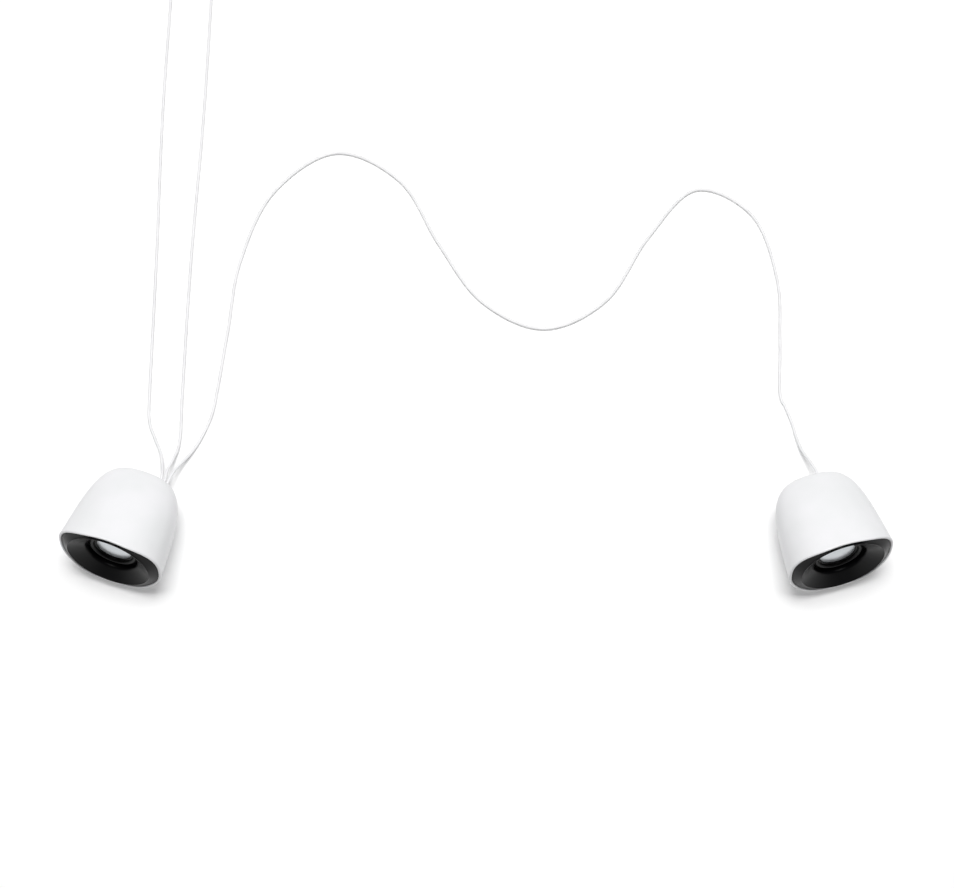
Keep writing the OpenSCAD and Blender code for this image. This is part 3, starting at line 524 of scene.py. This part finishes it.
# %% [markdown]
# ## The shell
# The real shell is one moulding: a rounded-square egg, cut off at the front by a lip that
# sweeps back at its sides. It is wrapped as one grid over rings of points, from the back
# over the outside and the lip to the ledge behind the front, and then back along the
# inside. Superellipses give the rings their corners, and the rings lie closest where the
# back turns in.
# %% Shape of the shell
RIM_WIDTH, RIM_HEIGHT, BODY_DEPTH, WALL, LIP = 81, 70.6, 74, 2.2, 2
SWEEP, SWELL, PLAN_TAPER, HEIGHT_TAPER = 2.7, 1, 0.16, 0.23
SECTION_POWER, BACK_POWER = 2.45, 4.3
LEDGE_DEPTH, LEDGE_WIDTH, LEDGE_THICKNESS = 4, 1.6, 2
LEDGE_STEP, LEDGE_SLOPE = 0.3, 0.1
AROUND, LIP_STEPS = 144, 10


def signed_power(value, power):
    return math.copysign(abs(value) ** power, value)


def lip_drop(x):
    """How far the lip lies behind its middle: it swells forward and then sweeps back."""
    return SWEEP * (2 * x / RIM_WIDTH) ** 2 - SWELL * math.sin(2 * math.pi * x / RIM_WIDTH) ** 2


def swept_ring(width, height, z, share):
    """Superellipse that is swept back by a share of what the rim is."""
    ring = []
    for i in range(AROUND):
        angle = 2 * math.pi * i / AROUND
        x = width / 2 * signed_power(math.cos(angle), 2 / SECTION_POWER)
        y = height / 2 * signed_power(math.sin(angle), 2 / SECTION_POWER)
        ring.append((x, y, z - share * lip_drop(x)))
    return ring


def rim_ring(inset, z):
    return swept_ring(RIM_WIDTH - 2 * inset, RIM_HEIGHT - 2 * inset, z, 1)


def round_ring(radius, z):
    return [
        (radius * math.cos(2 * math.pi * i / AROUND), radius * math.sin(2 * math.pi * i / AROUND), z)
        for i in range(AROUND)
    ]


def body_ring(inset, share):
    """Ring of the body, inset from its outside, at a share of its depth."""
    turn_in = max(1 - share ** BACK_POWER, 0) ** (1 / BACK_POWER)
    return swept_ring(
        (RIM_WIDTH - 2 * inset) * (1 - PLAN_TAPER * share) * turn_in,
        (RIM_HEIGHT - 2 * inset) * (1 - HEIGHT_TAPER * share) * turn_in,
        -(BODY_DEPTH - inset) * share, 1 - share,
    )


FRONT_SHARES = [0.03, 0.08, 0.14, 0.21]
BACK_ANGLES = [
    4, 8, 12, 17, 22, 28, 34, 40, 46, 52, 58, 64, 70, 75, 79, 82.5, 85.5, 88, 89.3, 89.85, 90
]
SHARES = FRONT_SHARES + [
    math.sin(math.radians(a)) ** (2 / BACK_POWER) for a in BACK_ANGLES
]


def egg(name, inset):
    """A closed solid of the body, which ends at the front in a flat-topped cone."""
    rings = [body_ring(inset, share) for share in reversed(SHARES)]
    return lofted(name, rings + [[(0, 0, -LIP)] * AROUND])


def shell_rings():
    """Rings from the back over the outside, round the lip and back along the inside."""
    lip = [(LIP / 2 * (1 - math.cos(a)), LIP / 2 * (math.sin(a) - 1))
           for a in (math.pi * k / LIP_STEPS for k in range(LIP_STEPS + 1))]
    ledge, ledge_back = LIP + LEDGE_WIDTH, -LEDGE_DEPTH - LEDGE_THICKNESS
    return (
        [body_ring(0, share) for share in reversed(SHARES)]
        + [rim_ring(*p) for p in lip]
        + [rim_ring(LIP, -LEDGE_DEPTH), rim_ring(ledge, -LEDGE_DEPTH),
           rim_ring(ledge, ledge_back), rim_ring(WALL + LEDGE_STEP, ledge_back - LEDGE_SLOPE)]
        + [body_ring(WALL, share) for share in SHARES[3:]]
    )


print("The shell is wrapped over", len(shell_rings()), "rings of", AROUND, "points")

# %% [markdown]
# ## Base, cord outlet and volume pocket
# A flat base with round ends is moulded on under the body. In the back there are a
# counterbored slot for the cords, and on the left speaker a round pocket for the volume
# knob. These are round tools that join or cut the shell, as a mould's inserts do.
# %% Shells with their base and openings
BASE_WIDTH, BASE_LENGTH, BASE_BACK, BASE_HEIGHT = 38, 52, 30, 20
BASE_ROUND, BASE_ROUND_STEPS, FOOT_HEIGHT = 0.5, 3, 1.5
OUTLET, NOSE_PITCH, GROMMET_RADIUS, FLANGE = (11.3, -9), 3.0, 2.0, 1.2
KNOB, POCKET_RADIUS, POCKET_WALL, POCKET_DEPTH, SHAFT_HOLE = (-10, -2), 9, 2, 3, 3.6
BACK = -BODY_DEPTH
OUTSIDE, CUT_END = BACK - 1, BACK + 12
LEAN = math.radians(15)
TINY = 0.01


def upright(piece, side):
    """Takes a piece modelled upright on the desk into a speaker's own frame."""
    height = FRAMES[side].translation.z / MM
    piece.data.transform(Matrix.Rotation(LEAN - math.pi / 2, 4, "X") @ Matrix.Translation((0, 0, -height)))
    return piece


def base_block(side):
    """The base as a block with round ends and a softened lower edge."""
    half = (BASE_LENGTH - BASE_WIDTH) / 2
    block = rod(BASE_WIDTH / 2, FOOT_HEIGHT, BASE_HEIGHT, vertices=96)
    for vertex in block.data.vertices:
        if abs(vertex.co.y) > TINY:
            vertex.co.y += math.copysign(half, vertex.co.y)
        vertex.co.y += BASE_BACK
    pick(block)
    bpy.ops.object.mode_set(mode="EDIT")
    bpy.ops.mesh.select_all(action="DESELECT")
    bpy.ops.object.mode_set(mode="OBJECT")
    for edge in block.data.edges:
        edge.select = all(block.data.vertices[i].co.z < FOOT_HEIGHT + TINY for i in edge.vertices)
    bpy.ops.object.mode_set(mode="EDIT")
    bpy.ops.mesh.bevel(offset=BASE_ROUND, segments=BASE_ROUND_STEPS)
    bpy.ops.object.mode_set(mode="OBJECT")
    return upright(block, side)


def cord_slot(count, radius, low, high):
    """A slot with round ends for cords side by side."""
    half = (count - 1) / 2 * NOSE_PITCH
    slot = rod(radius, low, high, OUTLET)
    for vertex in slot.data.vertices:
        vertex.co.x += math.copysign(half, vertex.co.x - OUTLET[0] + 0.001)
    return slot


def make_shell(side):
    left = side == "left"
    shell = lofted(side + "_shell", shell_rings())
    block = base_block(side)
    combine(block, egg("inside", WALL / 2), "DIFFERENCE")
    combine(shell, block, "UNION")
    if left:
        cup = rod(POCKET_RADIUS + POCKET_WALL, BACK, BACK + POCKET_DEPTH + POCKET_WALL, KNOB)
        combine(cup, egg("inside", WALL / 2), "INTERSECT")
        combine(shell, cup, "UNION")
        combine(shell, rod(POCKET_RADIUS, OUTSIDE, BACK + POCKET_DEPTH, KNOB, 96), "DIFFERENCE")
        combine(shell, rod(SHAFT_HOLE, BACK, CUT_END, KNOB), "DIFFERENCE")
    count = 3 if left else 1
    combine(shell, cord_slot(count, GROMMET_RADIUS, OUTSIDE, CUT_END), "DIFFERENCE")
    combine(shell, cord_slot(count, GROMMET_RADIUS + FLANGE, OUTSIDE, BACK + WALL), "DIFFERENCE")
    smooth_faces(shell, 32)
    put(shell, side)
    paint(shell, white_abs)
    stand_in(shell, "root", "white_shell", side + "_housing")
    return shell


for side in SIDES:
    shell = make_shell(side)
    print(shell.name, "has", len(shell.data.polygons), "faces")

# %% [markdown]
# ## The black front
# The front is one black moulding that drops into the lip. Round the dish it fills the
# squarer rim with two crescents, whose surface runs straight from the dish's mouth to the
# swept rim. A rounded bead runs round the dish's mouth. The dish leads in to the opening,
# whose straight wall ends at the seat for the driver.
# %% Front panels
PANEL_GAP, EDGE_DROP, DISH_RADIUS, DISH_RISE, DISH_WALL, BEAD = 0.2, 0.9, 32.8, 1.05, 1.8, 0.5
EDGE_ROUND = [(0, -0.1), (0.06, 0.12), (0.25, 0.3), (0.5, 0.4)]
MOUTH_DROP, SLOPE_INSET, SLOPE_DROP = 0.35, 1.9, 0.8
OPENING_RADIUS, THROAT_RADIUS, THROAT_ARC, DISH_DEPTH = 20.3, 2.4, (115, 180), 4.5
SEAT_DEPTH, FLANGE_RADIUS, FLANGE_GAP = 9.5, 28, 0.6
SOCKET_DROP, REAR_INSET, REAR_DROP, EDGE_WALL = 1.1, 1, 0.6, 1.2
FACE_STEPS, BEAD_STEPS, SLOPE_STEPS, THROAT_STEPS = 5, 8, 6, 8


def between(first, second, share):
    """Ring at a share of the way from one ring to another."""
    return [tuple(a + (b - a) * share for a, b in zip(p, q)) for p, q in zip(first, second)]


def bead_rings():
    """The rounded rim of the dish, from its outside over the top."""
    angles = (math.pi * k / BEAD_STEPS for k in range(1, BEAD_STEPS - 1))
    return [
        round_ring(DISH_RADIUS - BEAD * (1 - math.cos(a)), DISH_RISE - BEAD * (1 - math.sin(a)))
        for a in angles
    ]


def throat_rings():
    """The rounded edge of the opening, where the dish turns into its straight wall."""
    first, last = THROAT_ARC
    angles = (math.radians(first + (last - first) * k / THROAT_STEPS) for k in range(THROAT_STEPS + 1))
    return [
        round_ring(
            OPENING_RADIUS + THROAT_RADIUS * (1 + math.cos(a)), THROAT_RADIUS * (math.sin(a) - 1) - DISH_DEPTH
        )
        for a in angles
    ]


def panel_rings():
    """Rings from the panel's edge over its face into the opening, and back along its rear."""
    inset = LIP + PANEL_GAP
    edge = [rim_ring(inset + inward, rise - EDGE_DROP) for inward, rise in EDGE_ROUND]
    mouth = round_ring(DISH_RADIUS, DISH_RISE - MOUTH_DROP)
    slope_top = round_ring(DISH_RADIUS - SLOPE_INSET * BEAD, DISH_RISE - SLOPE_DROP * BEAD)
    throat = throat_rings()
    socket = FLANGE_RADIUS + FLANGE_GAP
    return (
        [rim_ring(inset, -LEDGE_DEPTH)] + edge
        + [between(edge[-1], mouth, k / FACE_STEPS) for k in range(1, FACE_STEPS + 1)]
        + bead_rings()
        + [between(slope_top, throat[0], k / SLOPE_STEPS) for k in range(SLOPE_STEPS)]
        + throat
        + [round_ring(OPENING_RADIUS, -SEAT_DEPTH), round_ring(socket, -SEAT_DEPTH),
           round_ring(socket, -DISH_WALL - SOCKET_DROP),
           round_ring(DISH_RADIUS - REAR_INSET, -DISH_WALL - REAR_DROP),
           rim_ring(inset + EDGE_WALL, -LEDGE_DEPTH), rim_ring(inset, -LEDGE_DEPTH)]
    )


for side in SIDES:
    panel = lofted(side + "_front", panel_rings())
    smooth_faces(panel, 30)
    paint(panel, black_abs)
    put(panel, side)
    stand_in(panel, "root", "black_panel", side + "_front_panel")
print("Front panels made")

# %% [markdown]
# ## The surround and the spider
# Both let the cone travel while they hold it in the middle, flexing between the basket and
# the cone. Each is made as twelve sectors of a turned ring, and every sector runs along its
# own radius. The sectors share their edges, so the ring stays whole.
# %% Rings that bend with the cone
SKIN, ROLL_RADIUS, ROLL_ARC, GASKET_BACK = 0.4, 17.2, 1.9, 10
FOOT_INNER, FOOT_OUTER, CONE_EDGE, CONE_LIP = 18.9, 22.1, 15.1, 13.8
FORMER_RADIUS, SPIDER_DEPTH, SPIDER_OUTER, WAVES, WAVE_HEIGHT = 9, 18.8, 19.1, 4, 0.5
INNER_FLAT, OUTER_FLAT = 1.2, 2.3
SECTORS, SECTOR_STEPS, ROLL_STEPS, WAVE_STEPS = 12, 8, 14, 48


def roll_profile():
    """Closed section of the surround, as radius and height."""
    centre = -GASKET_BACK - SKIN / 2
    outer, inner = ROLL_ARC + SKIN / 2, ROLL_ARC - SKIN / 2
    over = math.asin(SKIN / 2 / outer)
    under = math.asin(SKIN / 2 / inner)
    shares = [k / ROLL_STEPS for k in range(ROLL_STEPS + 1)]
    over_angles = [over + (math.pi - 2 * over) * t for t in shares]
    under_angles = [math.pi + under - (math.pi + 2 * under) * t for t in shares]
    return (
        [(FOOT_OUTER, -GASKET_BACK - SKIN), (FOOT_OUTER, -GASKET_BACK)]
        + [(ROLL_RADIUS + outer * math.cos(a), centre + outer * math.sin(a)) for a in over_angles]
        + [(CONE_LIP, -GASKET_BACK), (CONE_LIP, -GASKET_BACK - SKIN)]
        + [(ROLL_RADIUS + inner * math.cos(a), centre + inner * math.sin(a)) for a in under_angles]
    )


def wave_profile():
    """Closed section of the corrugated spider."""
    inner, outer = FORMER_RADIUS + INNER_FLAT, SPIDER_OUTER - OUTER_FLAT
    middle = -SPIDER_DEPTH - SKIN / 2
    wave = [
        (inner + (outer - inner) * t, WAVE_HEIGHT * math.sin(2 * math.pi * WAVES * t) + middle)
        for t in (k / WAVE_STEPS for k in range(WAVE_STEPS + 1))
    ]
    top = [(FORMER_RADIUS, middle)] + wave + [(SPIDER_OUTER, middle)]
    return [(r, z + SKIN / 2) for r, z in top] + [(r, z - SKIN / 2) for r, z in reversed(top)]


def ring_sector(name, profile, index):
    """One sector of a turned ring, with a flat face at both ends."""
    step = 2 * math.pi / SECTORS / SECTOR_STEPS
    angles = [step * (index * SECTOR_STEPS + k) for k in range(SECTOR_STEPS + 1)]
    piece = lofted(name, [[(r * math.cos(a), r * math.sin(a), z) for r, z in profile] for a in angles])
    bpy.ops.object.mode_set(mode="EDIT")
    bpy.ops.mesh.select_all(action="SELECT")
    bpy.ops.mesh.fill_holes(sides=0)
    bpy.ops.mesh.normals_make_consistent(inside=False)
    bpy.ops.object.mode_set(mode="OBJECT")
    return piece


def bending_ring(side, part, profile, material):
    """A ring in sectors, from its held edge to the edge that rides on the cone."""
    for index in range(SECTORS):
        piece = ring_sector(f"{side}_{part}_{index + 1}", profile, index)
        smooth_faces(piece, 40)
        put(piece, side)
        paint(piece, material)
        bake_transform(piece)
        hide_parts(f"{side}_{part}")


for side in SIDES:
    bending_ring(side, "surround", roll_profile(), surround_rubber)
    bending_ring(side, "spider", wave_profile(), spider_cloth)
print("Surrounds and spiders:", 2 * len(SIDES) * SECTORS, "sectors")

# %% [markdown]
# ## The dust caps
# A cap is a shallow pressed dome of even thickness, so its two faces are parts of balls
# round one centre. It is wrapped over rings from its rim to the pole and back inside.
# %% Silver domes
CAP_RADIUS, CAP_RISE, CAP_DEPTH, CAP_STEPS = 13.6, 2.4, 10.7, 16


def cap_rings():
    """Rings over the outer ball from the rim to the pole, and back over the inner ball."""
    ball = (CAP_RADIUS ** 2 + CAP_RISE ** 2) / (2 * CAP_RISE)
    centre = CAP_RISE - CAP_DEPTH - ball
    outer = math.asin(CAP_RADIUS / ball)
    inner = math.acos((-CAP_DEPTH - centre) / (ball - SKIN))
    shares = [k / CAP_STEPS for k in range(CAP_STEPS + 1)]
    places = [(ball, outer * (1 - t)) for t in shares] + [(ball - SKIN, inner * t) for t in shares]
    rings = [round_ring(r * math.sin(a), centre + r * math.cos(a)) for r, a in places]
    return rings + rings[:1]


for side in SIDES:
    cap = lofted(side + "_cap", cap_rings())
    smooth_faces(cap, 40)
    paint(cap, silver_cap)
    put(cap, side)
    stand_in(cap, side + "_cone", "silver_cap", side + "_dust_cap")
print("Dust caps made")

# %% [markdown]
# ## Turned and pressed parts
# The CAD shapes of the cone, basket, gasket, feet, grommets, knob, plugs and ties are right.
# Their triangles are welded in a copy, so that light runs smoothly over their curves.
# %% Smooth copies of CAD nodes
COPIES = [
    (f"{side}_{part}", body.format(side=side), slot)
    for side in SIDES
    for part, body, slot in (
        ("cone", "{side}_cone", "black_cone"),
        ("driver_basket", "root", "basket_steel"), ("driver_gasket", "root", "foam"),
        ("feet", "root", "foot_rubber"), ("cord_grommet", "root", "grip_white"),
    )
] + [
    ("left_volume_knob", "volume_knob", "white_knob"), ("left_volume_shaft", "volume_knob", "shaft_metal"),
    ("usb_plug_grip", "root", "grip_white"), ("usb_plug_shell", "root", "plug_metal"),
    ("usb_tie", "root", "tie_black"), ("audio_plug_grip", "root", "grip_white"),
    ("audio_plug_pin", "root", "plug_metal"), ("audio_tie", "root", "tie_black"),
]
copies = {}
for node, body, slot in COPIES:
    copies[node] = smooth_copy(node, "fine_" + node, body, slot)
    paint(copies[node], FINISHES[slot])
print("Smooth copies:", len(copies))

# %% [markdown]
# ## The cords
# Each cord is a curve of one open spline with a round section. The link cord runs from one
# speaker to the other, and the other two end in their plugs. Its facts are the CAD nodes
# that it stands for, what is at its far end, and the pieces on it.
# %% Cords
CORD_FACTS = {
    "link_cord": (["link_cord"], "object", []),
    "usb_cord": (["usb_cord", "usb_coil"], "plug", ["usb_plug_grip", "usb_plug_shell", "usb_tie"]),
    "audio_cord": (["audio_cord", "audio_coil"], "plug", ["audio_plug_grip", "audio_plug_pin", "audio_tie"]),
}
for name, line in CORD_LINES.items():
    replaced, far_end, fittings = CORD_FACTS[name]
    curve = bpy.data.curves.new("laid_" + name, "CURVE")
    curve.dimensions = "3D"
    curve.bevel_depth = CORD_WIDTH / 2 * MM
    curve.bevel_resolution = 3
    curve.use_fill_caps = True
    spline = curve.splines.new("POLY")
    spline.points.add(len(line) - 1)
    for point, place in zip(spline.points, line):
        point.co = (*place, 1)
    spline.use_smooth = True
    cord = bpy.data.objects.new("laid_" + name, curve)
    bpy.context.scene.collection.objects.link(cord)
    curve.materials.append(cord_pvc)
    stand_in(cord, "root", "cord_white", *replaced)
    print(cord.name, "ends in", far_end, "with", len(fittings), "pieces on it")

# %% [markdown]
# ## The desk and the light
# The pair stands on a plain white desk under a wide soft lamp, in a pale room. For the
# camera the desk is a little brighter than white paint, so that it stays clean white and
# keeps the soft shadows.
# %% Floor, world and lamp
FLOOR_LIFT, DESK_SIZE = 0.14, 8
ROOM_LIGHT, LAMP_POWER, LAMP_TILT = 0.16, 88, -11
LAMP_PLACE, LAMP_SIZE = (0, 0.6, 3), (1.6, 1.2)

floor_paint = bpy.data.materials.new("white_desk")
floor_paint.use_nodes = True
floor_shader = shader_of(floor_paint)
floor_shader.inputs["Base Color"].default_value = linear("#f4f4f4")
floor_shader.inputs["Roughness"].default_value = 0.9
floor_shader.inputs["Emission Color"].default_value = (1, 1, 1, 1)
light_path = add_node(floor_paint, "ShaderNodeLightPath")
seen = light_path.outputs["Is Camera Ray"]
for ray in ("Is Glossy Ray", "Is Transmission Ray"):
    seen = add_node(
        floor_paint, "ShaderNodeMath", {0: seen, 1: light_path.outputs[ray]}, operation="MAXIMUM"
    ).outputs[0]
lift = add_node(floor_paint, "ShaderNodeMath", {0: seen, 1: FLOOR_LIFT}, operation="MULTIPLY")
floor_paint.node_tree.links.new(lift.outputs[0], floor_shader.inputs["Emission Strength"])

bpy.ops.mesh.primitive_plane_add(size=DESK_SIZE, location=(0, 0, 0))
floor = bpy.context.object
floor.name = "desk_top"
paint(floor, floor_paint)

room = bpy.data.worlds.new("pale_room")
bpy.context.scene.world = room
room.use_nodes = True
background = room.node_tree.nodes["Background"]
background.inputs["Color"].default_value = (1, 1, 1, 1)
background.inputs["Strength"].default_value = ROOM_LIGHT

bpy.ops.object.light_add(type="AREA", location=LAMP_PLACE, rotation=(math.radians(LAMP_TILT), 0, 0))
lamp = bpy.context.object
lamp.data.shape = "RECTANGLE"
lamp.data.size, lamp.data.size_y = LAMP_SIZE
lamp.data.energy = LAMP_POWER
bpy.context.scene.view_settings.view_transform = "Standard"
print("Lamp of", LAMP_POWER, "W, room at", ROOM_LIGHT)
